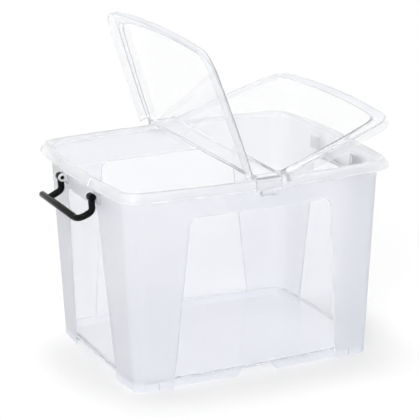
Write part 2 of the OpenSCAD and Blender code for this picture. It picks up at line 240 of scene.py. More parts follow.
def clear_plastic(name, tint, haze, edge_haze, roughness, grain_size, grain_depth, shade, milk=MILK):
    """Clear moulded plastic.

    haze is the share of light that is scattered face on, edge_haze the share at the edges, and
    shade the share that one surface lets through in a shadow.
    """
    material, nodes, links = new_material(name)
    out = nodes.new("ShaderNodeOutputMaterial")
    grain, normal = grain_and_bump(nodes, links, grain_size, 3, grain_depth)

    skin = nodes.new("ShaderNodeBsdfPrincipled")
    skin.inputs["Base Color"].default_value = (*tint, 1)
    skin.inputs["IOR"].default_value = PLASTIC_IOR
    skin.inputs["Transmission Weight"].default_value = 1.0
    uneven = map_range(nodes, links, grain, GRAIN_LOW, GRAIN_HIGH, roughness * 0.8, roughness * 1.2)
    links.new(uneven, skin.inputs["Roughness"])
    links.new(normal, skin.inputs["Normal"])

    lit = nodes.new("ShaderNodeBsdfDiffuse")
    lit.inputs["Color"].default_value = (*milk, 1)
    glow = nodes.new("ShaderNodeBsdfTranslucent")
    glow.inputs["Color"].default_value = (*milk, 1)
    scatter = mix_shaders(nodes, links, 0.5, lit.outputs[0], glow.outputs[0])
    facing = nodes.new("ShaderNodeLayerWeight")
    amount = map_range(nodes, links, facing.outputs["Facing"], HAZE_FROM, 1.0, haze, edge_haze)
    body = mix_shaders(nodes, links, amount, skin.outputs[0], scatter)

    see = nodes.new("ShaderNodeBsdfTransparent")
    see.inputs["Color"].default_value = (shade, shade, shade, 1)
    rays = nodes.new("ShaderNodeLightPath")
    links.new(mix_shaders(nodes, links, rays.outputs["Is Shadow Ray"], body, see.outputs[0]),
              out.inputs["Surface"])
    print("material", name, "haze", haze, "to", edge_haze, "roughness", roughness)
    return material


# %% [markdown]
# The same plastic comes in seven finishes. The tub's mould is etched at the corners and above the
# windows, and polished inside the windows. A thick edge, such as a window's border or the rim's
# lip, gets a milkier finish that looks almost white: partly the haze of thicker plastic, partly a
# painted highlight for the light that such an edge gathers. The thick cheeks of the lugs hardly let
# anything through. The lid is polished all over, with a thicker border.

# %% The plastics
# After the name: tint, haze face on, haze at the edges, roughness, grain size, grain depth, shade,
# and for the whitest ones the colour of the haze
frosted = clear_plastic("frosted_wall", (0.92, 0.928, 0.975), 0.24, 0.45, 0.36, 900, 0.00004, 0.74)
polished = clear_plastic("polished_wall", (0.96, 0.966, 0.988), 0.05, 0.35, 0.04, 60, 0.00004, 0.84)
rim_plastic = clear_plastic("rim_plastic", (0.98, 0.982, 0.99), 0.26, 0.50, 0.08, 60, 0.00004, 0.82,
                            (0.97, 0.973, 0.985))
# Edge finish: milkier haze, partly real scattering and partly a painted highlight along the edge
haze_and_painted_highlight = clear_plastic("haze_and_painted_highlight", (0.98, 0.98, 0.99), 0.50, 0.75, 0.12, 120, 0.00003, 0.78,
                            (0.98, 0.98, 0.985))
thick_white = clear_plastic("thick_white", (0.98, 0.98, 0.99), 0.86, 0.92, 0.12, 120, 0.00003, 0.80,
                            (0.985, 0.985, 0.99))
lid_clear = clear_plastic("lid_clear", (0.985, 0.987, 0.99), 0.03, 0.20, 0.03, 40, 0.00003, 0.95)
lid_border = clear_plastic("lid_border", (0.96, 0.962, 0.966), 0.16, 0.50, 0.07, 60, 0.00003, 0.90)

# %% [markdown]
# The handles are the one dark part. Their plastic is nearly black and glossy, and only a slow
# change of roughness and a shallow waviness tell it from paint.

# %% The black plastic
def black_plastic(name):
    material, nodes, links = new_material(name)
    out = nodes.new("ShaderNodeOutputMaterial")
    grain, normal = grain_and_bump(nodes, links, 120, 4, 0.00005)
    skin = nodes.new("ShaderNodeBsdfPrincipled")
    skin.inputs["Base Color"].default_value = (0.001, 0.001, 0.0015, 1)
    skin.inputs["Specular IOR Level"].default_value = 0.12
    uneven = map_range(nodes, links, grain, GRAIN_LOW, GRAIN_HIGH, 0.05, 0.11)
    links.new(uneven, skin.inputs["Roughness"])
    links.new(normal, skin.inputs["Normal"])
    links.new(skin.outputs[0], out.inputs["Surface"])
    return material


black = black_plastic("handle_black")
print("materials", [m.name for m in bpy.data.materials])

# %% [markdown]
# ## The tub's outline
# Seen from above, the tub is a rectangle with rounded corners and gently bowed sides. Each wall
# has a window that is set in a little. The outline has a column of points at each side of a
# window's edge, close together, so that the step there is crisp and the wall beside it stays
# smooth. The same columns also carry the notches under the long sides.

# %% Columns of the outline
CORNER_STEPS = 14
STEP_W = 1.2                            # width of the slope at a window's edge
PAST_STEP = 0.7                         # from the slope to the next points, which keep it crisp
# Place of a column beside a window's edge, and its share of the window's depth
EDGE_COLUMNS = (
    (-0.6, 1.0), (0.0, 1.0), (STEP_W / 2, 0.5), (STEP_W, 0.0), (STEP_W + PAST_STEP, 0.0))
OUTER_COLUMNS = (0.3, 0.65, 1.0)
# Places across half a window at the ground, and the height of the foot's bottom edge there
LONG_FOOT = ((0, 12), (8, 12), (16, 12), (22, 12), (25.3, 12), (32.6, 2), (36, 2), (46, 2), (60, 2),
             (76, 2), (92, 2), (108, 2), (120, 2), (128, 2))
END_FOOT = tuple((place, 11.4) for place in (0, 12, 24, 36, 47, 57, 66, 73))


def window_half(top_half, z):
    """Half width of a window at a height. Its sides lean out, and its top corners are round."""
    above = min(max(z - (WINDOW_TOP - WINDOW_R), 0), WINDOW_R)
    straight = top_half + WINDOW_LEAN * (WINDOW_TOP - min(z, WINDOW_TOP))
    return straight - (WINDOW_R - math.sqrt(WINDOW_R ** 2 - above ** 2))


def bowed_side(foot, top_half, z, span, out, drop, deep):
    """(place along the side, distance out) from one corner to the other."""
    half, ground_half = window_half(top_half, z), window_half(top_half, 0)
    places = [(s / ground_half * half, 1.0) for s, _ in foot]
    places += [(half + e, share) for e, share in EDGE_COLUMNS]
    last = places[-1][0]
    places += [(mix(last, span, f), 0.0) for f in OUTER_COLUMNS]
    one = [(s, out - drop * (s / span) ** 2 - deep * share) for s, share in places]
    return [(-s, d) for s, d in reversed(one[1:])] + one


def box_ring(half, corner, bow, z, deep):
    """One ring of the tub as 3-D points, anticlockwise from the front left corner."""
    cx, cy = half.x - bow.x - corner, half.y - bow.y - corner
    fx, fy = math.atan(2 * bow.y / cx), math.atan(2 * bow.x / cy)
    span_x, span_y = cx + corner * math.sin(fx), cy + corner * math.sin(fy)
    drop_x, drop_y = half.y - cy - corner * math.cos(fx), half.x - cx - corner * math.cos(fy)
    side = bowed_side(LONG_FOOT, LONG_WINDOW, z, span_x, half.y, drop_x, deep)
    end = bowed_side(END_FOOT, END_WINDOW, z, span_y, half.x, drop_y, deep)
    arc = [mix(fx - math.pi / 2, -fy, i / CORNER_STEPS) for i in range(1, CORNER_STEPS)]
    points = [(s, -d) for s, d in side]
    points += [(cx + corner * math.cos(a), -cy + corner * math.sin(a)) for a in arc]
    points += [(d, s) for s, d in end]
    points += [(cx - corner * math.sin(a), cy + corner * math.cos(a)) for a in arc]
    both = points + [(-x, -y) for x, y in points]
    return [Vector((x, y, z)) for x, y in both]


def wall_ring(z, inset, depth_share):
    t = z / LIP_Z
    half = BASE_HALF.lerp(WALL_HALF, t) - Vector((inset, inset))
    return box_ring(half, mix(BASE_R, RIM_R, t) - inset, BOW * mix(BASE_BOW, 1, t), z,
                    WINDOW_DEEP * depth_share)


def rim_ring(inset, z):
    ring = box_ring(LIP - Vector((inset, inset)), RIM_R - inset / 2, BOW, TOP_Z, 0)
    return [Vector((p.x, p.y, z)) for p in ring]


print("columns round the tub", len(wall_ring(100, 0, 1)))

# %% [markdown]
# ## The tub's rows
# The rows start under the floor, go round the bottom edge of the foot, up the outside, over the
# rim and down the inside to the floor. Round the windows' top corners they come closer together.
# The foot's bottom edge isn't level: it is cut up at the middle of the long sides and along the
# ends, so the box stands on its four corners.

# %% The foot's bottom edge
def foot_half(foot):
    """Heights of the bottom edge at the columns of half a side."""
    high = foot[-1][1]
    edge = [high, high, high / 2, 0.0, 0.0]
    return [h for _, h in foot] + edge + [0.0] * len(OUTER_COLUMNS)


def foot_heights():
    heights = []
    for foot in (LONG_FOOT, END_FOOT):
        half = foot_half(foot)
        heights += list(reversed(half[1:])) + half + [0.0] * (CORNER_STEPS - 1)
    return heights * 2


FOOT_HEIGHTS = foot_heights()
print("the foot's edge lies", min(FOOT_HEIGHTS), "to", max(FOOT_HEIGHTS), "mm above the ground")


def foot_ring(inset, lift):
    """A ring along the foot's bottom edge, lift above it."""
    low, high = wall_ring(0, inset, 1), wall_ring(FLOOR_Z, inset, 1)
    return [a.lerp(b, (h + lift) / FLOOR_Z) for a, b, h in zip(low, high, FOOT_HEIGHTS)]


# %% [markdown]
# Every row carries a word for the band of cells that starts on it. Together with the kind of
# column, the word decides which finish a cell gets.

# %% The rows
WALL_HEIGHTS = (15.5, 28, 55, 90, 130, 170, 205, 230, 242)
RIM_PROFILE = (                         # (distance in from the lip, height), from the wall outwards
    (8.6, 302.0), (6.8, 301.0), (5.2, 298.8), (3.8, 295.8), (2.8, 292.8), (2.4, 291.4),
    (1.9, 291.0), (0.7, 291.0), (0.2, 291.3), (0.0, 291.9), (0.0, 293.0), (0.3, 294.2),
    (1.3, 296.6), (2.6, 299.2), (4.2, 301.8), (5.4, 303.4), (6.4, 304.4), (7.4, 304.9),
    (8.4, 305.0), (9.2, 305.0), (9.9, 304.8), (10.4, 304.2), (10.7, 303.4))
LIP_ROWS = range(5, 10)                 # the rows round the lip's lower edge
CORNER_TURNS = [math.radians(a) for a in range(0, 90, 10)]
WINDOW_STEP = (                         # (height, share of the depth, word) at the upper edge
    (WINDOW_TOP, 1.0, "border"), (WINDOW_TOP + STEP_W / 2, 0.5, "border"),
    (WINDOW_TOP + STEP_W, 0.0, "above"), (WINDOW_TOP + STEP_W + PAST_STEP, 0.0, "above"))
ABOVE_WINDOW = (266, 276, 288, 296, 299.5)
UNDER_FLOOR = ((FLOOR_Z, 5.0), (FLOOR_Z, 2.7), (12.8, WALL))                # (height, inset)
FOOT_EDGE = ((WALL, 0.5), (WALL - 0.5, 0.0), (0.5, 0.0), (0.0, 0.5))        # (inset, lift)
FOOT_TOP = 13.5
FLOOR_FILLET = (                        # (height, inset) of the rounding between wall and floor
    (18.4, 2.2), (16.8, 2.5), (15.7, 3.4), (15.2, 4.8), (15.2, 6.6), (15.2, 9.0))
FILLET_TOP = 20                         # the wall's inside is straight above this height
INSIDE_WORDS = {"above": "inside", "border": "border", "window": "inside"}

window_rows = [(z, 1.0, "window") for z in WALL_HEIGHTS]
window_rows += [(WINDOW_TOP - WINDOW_R * (1 - math.sin(a)), 1.0, "window") for a in CORNER_TURNS]
window_rows += WINDOW_STEP

tub_rows = [("foot", wall_ring(z, inset, 1)) for z, inset in UNDER_FLOOR]
tub_rows += [("foot", foot_ring(inset, lift)) for inset, lift in FOOT_EDGE]
tub_rows += [("foot", wall_ring(FOOT_TOP, 0, 1))]
tub_rows += [(word, wall_ring(z, 0, share)) for z, share, word in window_rows]
tub_rows += [("above", wall_ring(z, 0, 0)) for z in ABOVE_WINDOW]
for k, (inset, z) in enumerate(RIM_PROFILE):
    tub_rows.append(("lip" if k in LIP_ROWS else "rim", rim_ring(inset, z)))
tub_rows += [("inside", wall_ring(z, WALL, 0)) for z in reversed(ABOVE_WINDOW)]
downwards = list(reversed(window_rows))
for k, (z, share, _) in enumerate(downwards):
    if z > FILLET_TOP:
        word = downwards[k + 1][2] if k + 1 < len(downwards) else "window"
        tub_rows.append((INSIDE_WORDS[word], wall_ring(z, WALL, share)))
tub_rows += [("inside", wall_ring(z, inset, 1)) for z, inset in FLOOR_FILLET]
print("rows of the tub", len(tub_rows))

# %% [markdown]
# ## The tub
# The grid is laid on the rows, and the two flat faces of the floor fill the open ends of the
# sleeve. Cells inside a window's columns are polished, the cells of the step round them get the
# milky edge finish with its painted highlight, and the rest of the outside is frosted. The inside
# is smooth all over.

# %% Building the tub
def column_kinds():
    """For each cell round the outline: window, border or wall."""
    kinds = []
    for foot in (LONG_FOOT, END_FOOT):
        edge = len(foot) + 1
        count = len(foot) + len(EDGE_COLUMNS) + len(OUTER_COLUMNS)
        half = ["window"] * edge + ["border"] * 2 + ["wall"] * (count - 3 - edge)
        kinds += list(reversed(half)) + half + ["wall"] * CORNER_STEPS
    return kinds * 2


COLUMN_KINDS = column_kinds()
TUB_FINISHES = (frosted, polished, rim_plastic, haze_and_painted_highlight)
# The edge finish's cells carry a painted highlight: a milkier haze that makes them look white
FROSTED, POLISHED, RIM, PAINTED_HIGHLIGHT = range(4)


def tub_cell(i, j):
    """The finish of one cell, from the word of its row and the kind of its column."""
    word, kind = tub_rows[j][0], COLUMN_KINDS[i]
    if word == "rim":
        return RIM
    # The lip and the window borders get the edge finish, with its painted highlight
    if word == "lip":
        return PAINTED_HIGHLIGHT
    if word == "inside":
        beside_window = FILLET_TOP < tub_rows[j][1][0].z < WINDOW_TOP + 0.1
        return PAINTED_HIGHLIGHT if kind == "border" and beside_window else POLISHED
    if word == "border":
        return FROSTED if kind == "wall" else PAINTED_HIGHLIGHT
    if word == "window":
        return {"window": POLISHED, "border": PAINTED_HIGHLIGHT, "wall": FROSTED}[kind]
    return FROSTED


bm = bmesh.new()
lay_grid(bm, [ring for _, ring in tub_rows], True, tub_cell)
for f in close_ends(bm):
    f.smooth = False
    f.material_index = POLISHED
bmesh.ops.recalc_face_normals(bm, faces=bm.faces)
tub = finish_piece("tub_shell", bm, TUB_FINISHES, "tub_body")
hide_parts("tub")

# %% [markdown]
# ## The handle lugs
# Under the rim, each arm of a handle hangs beside a cheek that stands on a thin pad. The cheek is
# a thick round-ended tongue with a hole for the handle's pin. Two circles are created, the outer
# one is drawn out to the wall, the ring between them is bridged and then given its thickness.

# %% Lugs
CHEEK_W, CHEEK_R, PIN_HOLE_R, CHEEK_IN = 3.0, 5.9, 3.06, 5.9
PAD_FRONT, PAD_BACK, PAD_MIDDLE = 212.0, 207.0, 210.0
PAD_HALF, PAD_BELOW, PAD_ABOVE = 12.9, 5.0, 3.0
CHEEK_ROUND, PAD_ROUND = 0.4, 1.0       # radii of the rounded edges
PAD_FINISH = 1                          # the pads' place in the lugs' list of materials
TURNS = 40
SHARP = 1.2                             # an edge that turns by more than this, in radians, is rounded


def out_at(ring, place, along, across):
    """How far out a side of the ring lies, at a place along that side."""
    line = sorted((p[along], p[across]) for p in ring if p[across] > 0)
    for (a, near), (b, far) in zip(line, line[1:]):
        if a <= place <= b:
            return mix(near, far, (place - a) / (b - a))


def root_in_wall(verts):
    """Moves the back of a lug into the middle of the wall behind it."""
    for v in verts:
        if v.co.x < PAD_MIDDLE:
            v.co.x = out_at(wall_ring(v.co.z, 0, 0), v.co.y, 1, 0) - WALL / 2


def rounded_block(bm, low, high, radius):
    """A block with rounded edges, between two corners."""
    made = bmesh.ops.create_cube(bm, size=1)["verts"]
    low, high = Vector(low), Vector(high)
    bmesh.ops.scale(bm, vec=high - low, verts=made)
    bmesh.ops.translate(bm, vec=(low + high) / 2, verts=made)
    return round_edges(bm, list({e for v in made for e in v.link_edges}), radius)


def sharp_rims(verts):
    """The edges at some vertices whose two faces meet at a sharp angle."""
    edges = {e for v in verts for e in v.link_edges}
    return [e for e in edges if len(e.link_faces) == 2 and e.calc_face_angle(0) > SHARP]


def cheek(bm, y):
    """A cheek on the +X end, with its middle at y."""
    outer = bmesh.ops.create_circle(bm, cap_ends=False, radius=CHEEK_R, segments=TURNS)["verts"]
    inner = bmesh.ops.create_circle(bm, cap_ends=False, radius=PIN_HOLE_R, segments=TURNS)["verts"]
    length = PIVOT_X - PAD_BACK
    for v in outer:
        if v.co.x < -0.1:
            reach = min(length / abs(v.co.x), CHEEK_R / max(abs(v.co.y), 1e-6))
            v.co = v.co * reach
    edges = list({e for v in outer + inner for e in v.link_edges})
    ring = bmesh.ops.bridge_loops(bm, edges=edges)["faces"]
    both = outer + inner
    turn(bm, both, math.radians(90), "X")
    bmesh.ops.translate(bm, vec=(PIVOT_X, y + CHEEK_W / 2, PIVOT_Z), verts=both)
    grown = bmesh.ops.extrude_face_region(bm, geom=ring)["geom"]
    ends = [g for g in grown if isinstance(g, bmesh.types.BMVert)]
    bmesh.ops.translate(bm, vec=(0, -CHEEK_W, 0), verts=ends)
    round_edges(bm, sharp_rims(both + ends), CHEEK_ROUND)


RIDGE_LOW, RIDGE_HIGH = (-0.7, -0.6, -5.6), (1.2, 0.6, 5.6)     # its corners, before it is tilted
RIDGE_ROUND = 0.35
RIDGE_TILT = math.radians(27.4)         # slope of the rim's flare
RIDGE_IN, RIDGE_Z = 2.9, 298.4          # the ridge's middle, in from the lip and above the ground
ARM_DROP = 1.43                         # how far the bowed rim lies back at a handle's arm


def rim_ridge(bm, y):
    """A thin upright ridge on the flare above an arm, on the +X end."""
    made = rounded_block(bm, RIDGE_LOW, RIDGE_HIGH, RIDGE_ROUND)
    turn(bm, made, -RIDGE_TILT, "Y")
    bmesh.ops.translate(bm, vec=(LIP.x - ARM_DROP - RIDGE_IN, y, RIDGE_Z), verts=made)


def lug_set(bm):
    """The lugs of the +X end."""
    for side in (-1, 1):
        y = side * ARM_Y
        cheek(bm, y - side * (CHEEK_IN + CHEEK_W / 2))
        pad = rounded_block(bm, (PAD_BACK, y - PAD_HALF, PIVOT_Z - CHEEK_R - PAD_BELOW),
                            (PAD_FRONT, y + PAD_HALF, PIVOT_Z + CHEEK_R + PAD_ABOVE), PAD_ROUND)
        for f in {f for v in pad for f in v.link_faces}:
            f.material_index = PAD_FINISH
    root_in_wall(bm.verts)
    for side in (-1, 1):
        rim_ridge(bm, side * ARM_Y)


for name, turned in (("lugs_right", False), ("lugs_left", True)):
    bm = bmesh.new()
    lug_set(bm)
    if turned:
        turn(bm, bm.verts, math.pi, "Z")
    bmesh.ops.recalc_face_normals(bm, faces=bm.faces)
    smooth_all(bm)
    finish_piece(name, bm, (thick_white, rim_plastic), "tub_body")

# %% [markdown]
# ## The foot's joint lines
# The corner feet carry one fine upright line each, beside the long windows. A line is a thin
# rounded bar that is sunk into the foot, at the place that the tub's own ring gives.

# %% Foot lines
FOOT_LINE_X = 156.0
LINE_FROM, LINE_TO = 2.0, 12.0          # heights of a line's ends
MEASURED_AT = (2, 11)                   # heights at which the foot is measured
out_low, out_high = (out_at(wall_ring(z, 0, 1), FOOT_LINE_X, 0, 1) for z in MEASURED_AT)
bm = bmesh.new()
for sx in (-1, 1):
    for sy in (-1, 1):
        bar = rounded_block(bm, (-0.4, -0.5, LINE_FROM), (0.4, 0.4, LINE_TO), 0.2)
        for v in bar:
            share = (v.co.z - MEASURED_AT[0]) / (MEASURED_AT[1] - MEASURED_AT[0])
            v.co.x = sx * FOOT_LINE_X + v.co.x
            v.co.y = sy * (mix(out_low, out_high, share) + v.co.y)
bmesh.ops.recalc_face_normals(bm, faces=bm.faces)
smooth_all(bm)
# The lines get the edge finish, with its painted highlight
finish_piece("foot_lines", bm, (haze_and_painted_highlight,), "tub_body")

# %% [markdown]
# ## The lid's flaps
# A flap is a shallow tray: a skirt that hangs over the rim, a narrow flange, a step, and a raised
# panel that slopes down to the hinge. Only its outer skin is laid, as an open sheet, and the
# Solidify modifier gives it the thickness of the moulding. The panel is one flat face. It is shaded
# flat, because a smooth face would borrow the tilt of the step round it, and bend the light all over.

# %% The skin of a flap
LID_WALL, LID_UNDER, SKIRT = 1.8, -4.0, 10.0
FLAP_TOP = LID_UNDER + LID_WALL
PANEL_HINGE, PANEL_RISE = 1.4, 5.6      # height of the panel at the hinge, and its rise to the end
PANEL_IN, PANEL_SIDE_IN = 19.0, 11.0    # the panel's edge, in from the lip's end and sides
LEAN = (FLAP_TOP + PANEL_RISE - PANEL_HINGE) / (LIP.x - HINGE_X - PANEL_IN)
FLAP_START = 5.2                        # where the skirt begins, out from the hinge axis
TONGUE_Y, TONGUE_U = 168.0, 2.2         # half width of the tongue, and its end, out from the axis
SIDE_STEPS, END_STEPS = 16, 24


def flap_ring(over, end_in, side_in, z, sloped=False):
    """An open line round a flap, from the hinge round the free end and back to the hinge.

    It lies over outside the lip, less end_in at the free end and side_in at the sides.
    """
    ax, ay = LIP.x + over - end_in, LIP.y + over - side_in
    r = RIM_R - side_in / 2
    cx, cy = ax - BOW.x - r, ay - BOW.y - r
    fx, fy = math.atan(2 * BOW.y / cx), math.atan(2 * BOW.x / cy)
    span_x, span_y = cx + r * math.sin(fx), cy + r * math.sin(fy)
    drop_x, drop_y = ay - cy - r * math.cos(fx), ax - cx - r * math.cos(fy)
    xs = [mix(HINGE_X + FLAP_START, span_x, i / SIDE_STEPS) for i in range(SIDE_STEPS + 1)]
    ys = [mix(-span_y, span_y, i / END_STEPS) for i in range(END_STEPS + 1)]
    arc = [mix(fx - math.pi / 2, -fy, i / CORNER_STEPS) for i in range(1, CORNER_STEPS)]
    line = [(x, -(ay - drop_x * (x / span_x) ** 2)) for x in xs]
    line += [(cx + r * math.cos(a), -cy + r * math.sin(a)) for a in arc]
    line += [(ax - drop_y * (y / span_y) ** 2, y) for y in ys]
    line += [(cx - r * math.sin(a), cy + r * math.cos(a)) for a in arc]
    line += [(x, ay - drop_x * (x / span_x) ** 2) for x in reversed(xs)]
    return [Vector((x - HINGE_X, y, z + (LEAN * (x - HINGE_X) if sloped else 0))) for x, y in line]


def step_ring(share, end_in, side_in):
    """A line on the step, share of the way up from the flange to the panel."""
    low = flap_ring(0, end_in, side_in, FLAP_TOP)
    high = flap_ring(0, end_in, side_in, PANEL_HINGE, True)
    return [a.lerp(b, share) for a, b in zip(low, high)]


flap_rows = [
    flap_ring(2.0, 0, 0, LID_UNDER - SKIRT),
    flap_ring(1.97, 0, 0, LID_UNDER - SKIRT + 0.8),
    flap_ring(1.2, 0, 0, LID_UNDER - 4.5),
    flap_ring(0.5, 0, 0, FLAP_TOP - 1.5),
    flap_ring(0.3, 0, 0, FLAP_TOP - 0.8),
    flap_ring(-0.1, 0, 0, FLAP_TOP - 0.25),
    flap_ring(-0.7, 0, 0, FLAP_TOP),
    flap_ring(-1.5, 0, 0, FLAP_TOP),
    flap_ring(0, 13.2, 5.4, FLAP_TOP),
    step_ring(0.0, 13.8, 5.8),
    step_ring(0.06, 14.3, 6.3),
    step_ring(0.5, 16.4, 8.4),
    step_ring(0.94, 18.5, 10.5),
    step_ring(1.0, PANEL_IN, PANEL_SIDE_IN),
    step_ring(1.0, 19.8, 11.8),
]
print("rows of a flap", len(flap_rows), "points", len(flap_rows[0]))


def turn_flap(bm, side):
    """Opens a flap that was made closed on the +X side, and takes it to its own side."""
    turn(bm, bm.verts, -math.radians(OPEN_RIGHT if side > 0 else OPEN_LEFT), "Y")
    bmesh.ops.translate(bm, vec=(HINGE_X, 0, HINGE_Z), verts=bm.verts)
    if side < 0:
        bmesh.ops.scale(bm, vec=(-1, 1, 1), verts=bm.verts)
    bmesh.ops.recalc_face_normals(bm, faces=bm.faces)


# %% [markdown]
# The two flaps are mirror images, so each is made closed on the right, and is then opened and taken
# to its own side. Near the hinge the panel narrows to a tongue that reaches the bead. The tongue's
# four corners are single vertices, and the panel is the one face that joins them to the last row
# of the skin.

# %% Two flaps
LID_FINISHES = (lid_clear, lid_border)
BORDER = 1                              # the border's place in that list


def flap(name, side, body, node):
    bm = bmesh.new()
    cells = lay_grid(bm, flap_rows, False, lambda i, j: BORDER)
    last_row = [(i, v) for v, (i, j) in cells.items() if j == len(flap_rows) - 1]
    edge = [v for _, v in sorted(last_row, key=lambda pair: pair[0])]
    corners = [(FLAP_START, TONGUE_Y), (TONGUE_U, TONGUE_Y), (TONGUE_U, -TONGUE_Y),
               (FLAP_START, -TONGUE_Y)]
    tongue = [bm.verts.new((u, y, PANEL_HINGE + LEAN * u)) for u, y in corners]
    panel = bm.faces.new(edge + tongue)
    panel.smooth = False
    turn_flap(bm, side)
    piece = finish_piece(name, bm, LID_FINISHES, body)
    solid = piece.modifiers.new("thickness", "SOLIDIFY")
    solid.thickness = LID_WALL * MM
    solid.offset = -1
    solid.use_even_offset = True
    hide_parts(node)


flap("flap_right_tray", 1, "right_flap", "flap_right")
flap("flap_left_tray", -1, "left_flap", "flap_left")

# %% [markdown]
# ## The hinge beads
# Along its hinge a flap ends in a round bead, and the bead carries a pin at each end that snaps
# into the spine. It is a turned shape, so rings of different radius are laid along it.

# %% Beads and pins
BEAD_R, PIN_R, PIN_END = 2.6, 2.0, 179.4
BEAD_STEPS = 28
BEAD_HALF = (                           # (place along the axis, radius), from the middle outwards
    (0, BEAD_R), (TONGUE_Y - 0.9, BEAD_R), (TONGUE_Y - 0.4, BEAD_R - 0.1),
    (TONGUE_Y - 0.05, BEAD_R - 0.5), (TONGUE_Y, PIN_R), (TONGUE_Y + 0.8, PIN_R),
    (PIN_END - 0.8, PIN_R), (PIN_END - 0.2, PIN_R - 0.2), (PIN_END, PIN_R - 0.6))


def circle_rows(profile, steps):
    """Rings round the Y axis, one for each (place, radius)."""
    turns = [2 * math.pi * i / steps for i in range(steps)]
    return [[Vector((r * math.cos(a), y, r * math.sin(a))) for a in turns] for y, r in profile]


def bead(name, side, body):
    profile = [(-y, r) for y, r in reversed(BEAD_HALF)] + list(BEAD_HALF[1:])
    bm = bmesh.new()
    lay_grid(bm, circle_rows(profile, BEAD_STEPS), True)
    close_ends(bm)
    turn_flap(bm, side)
    finish_piece(name, bm, (lid_border,), body)


bead("flap_right_bead", 1, "right_flap")
bead("flap_left_bead", -1, "left_flap")

# %% [markdown]
# ## The spine
# The spine's solid has the right shape already, but its edges are knife sharp, and clear plastic
# shows itself mostly by its edges. So a copy of it is merged, its flat faces are joined, and its
# edges are rounded with a bevel.

# %% The spine
FLAT_FROM, SPINE_ROUND = 12.0, 0.35     # area of a face that stays flat, and radius of the edges
FLAT_WITHIN, ROUND_FROM = math.radians(1), math.radians(40)
bm = bmesh.new()
bm.from_mesh(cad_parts["lid_spine"].data)
bmesh.ops.remove_doubles(bm, verts=bm.verts, dist=1e-6)
bmesh.ops.dissolve_limit(bm, angle_limit=FLAT_WITHIN, verts=bm.verts, edges=bm.edges)
bmesh.ops.scale(bm, vec=(1 / MM, 1 / MM, 1 / MM), verts=bm.verts)
smooth_all(bm, FLAT_FROM)
for f in bm.faces:
    f.material_index = int(abs(f.calc_center_median().y) > TONGUE_Y)
spine = finish_piece("lid_spine_bar", bm, LID_FINISHES, "tub_body")
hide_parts("lid_spine")
rounding = spine.modifiers.new("rounding", "BEVEL")
rounding.width = SPINE_ROUND * MM
rounding.segments = 2
rounding.limit_method = "ANGLE"
rounding.angle_limit = ROUND_FROM
rounding.harden_normals = True

# %% [markdown]
# ## The handles
# A handle is one bent rod of glossy black plastic. A ring of edges is pushed along the rod's line
# with extrude, and swung round its bends with spin, as a pipe bender does. The two arms hang from
# barrels whose pins point to each other, and the grip turns the corner at one end and runs past
# the arm at the other.

# %% Bending rod
ROD_R, GRIP_R = 4.9, 5.2
ROD_STEPS = 28


def start_ring(bm, place, direction, radius):
    """A ring of edges across a line at place."""
    made = bmesh.ops.create_circle(bm, cap_ends=False, radius=radius, segments=ROD_STEPS)["verts"]
    across = Vector((0, 0, 1)).rotation_difference(direction).to_matrix()
    bmesh.ops.rotate(bm, cent=(0, 0, 0), matrix=across, verts=made)
    bmesh.ops.translate(bm, vec=place, verts=made)
    return list({e for v in made for e in v.link_edges})


def ring_verts(ring):
    return list({v for e in ring for v in e.verts})


def ring_middle(ring):
    verts = ring_verts(ring)
    return sum((v.co for v in verts), Vector()) / len(verts)


def push(bm, ring, offset, swell=1.0):
    """Extrudes the ring by offset, and scales it by swell."""
    grown = bmesh.ops.extrude_edge_only(bm, edges=ring)["geom"]
    verts = [g for g in grown if isinstance(g, bmesh.types.BMVert)]
    bmesh.ops.translate(bm, vec=offset, verts=verts)
    inside = set(verts)
    edges = [g for g in grown if isinstance(g, bmesh.types.BMEdge)]
    new = [e for e in edges if all(v in inside for v in e.verts)]
    if swell != 1.0:
        to_middle = Matrix.Translation(-ring_middle(new))
        bmesh.ops.scale(bm, vec=(swell,) * 3, space=to_middle, verts=verts)
    return new


def bend(bm, ring, centre, axis, degrees, steps):
    """Swings the ring round a bend."""
    spun = bmesh.ops.spin(bm, geom=ring_verts(ring) + list(ring), cent=centre, axis=axis,
                          dvec=(0, 0, 0), angle=math.radians(degrees), space=Matrix.Identity(4),
                          steps=steps, use_duplicate=False)
    return [g for g in spun["geom_last"] if isinstance(g, bmesh.types.BMEdge)]


RIB_SWELL, RIB_PITCH = 1.07, 2.8
RIB = (                                 # (length, swell) of the steps that make one rib
    (0.8, 1.0), (0.25, RIB_SWELL), (0.9, 1.0), (0.25, 1 / RIB_SWELL), (0.6, 1.0))


def ribs(bm, ring, direction, count):
    """Thin raised rings along the rod."""
    for _ in range(count):
        for length, swell in RIB:
            ring = push(bm, ring, direction * length, swell)
    return ring


print("rod of radius", ROD_R, "and grip of radius", GRIP_R, "mm, ribs every", RIB_PITCH, "mm")

# %% [markdown]
# From its pivot an arm hangs down and leans in a little. At the knee it turns outwards, and dips
# towards the grip. Both arms have thin ribs just past the knee. The long arm ends inside the grip,
# and the short one turns into it round the elbow. The right handle is the mirror image of the
# left one.

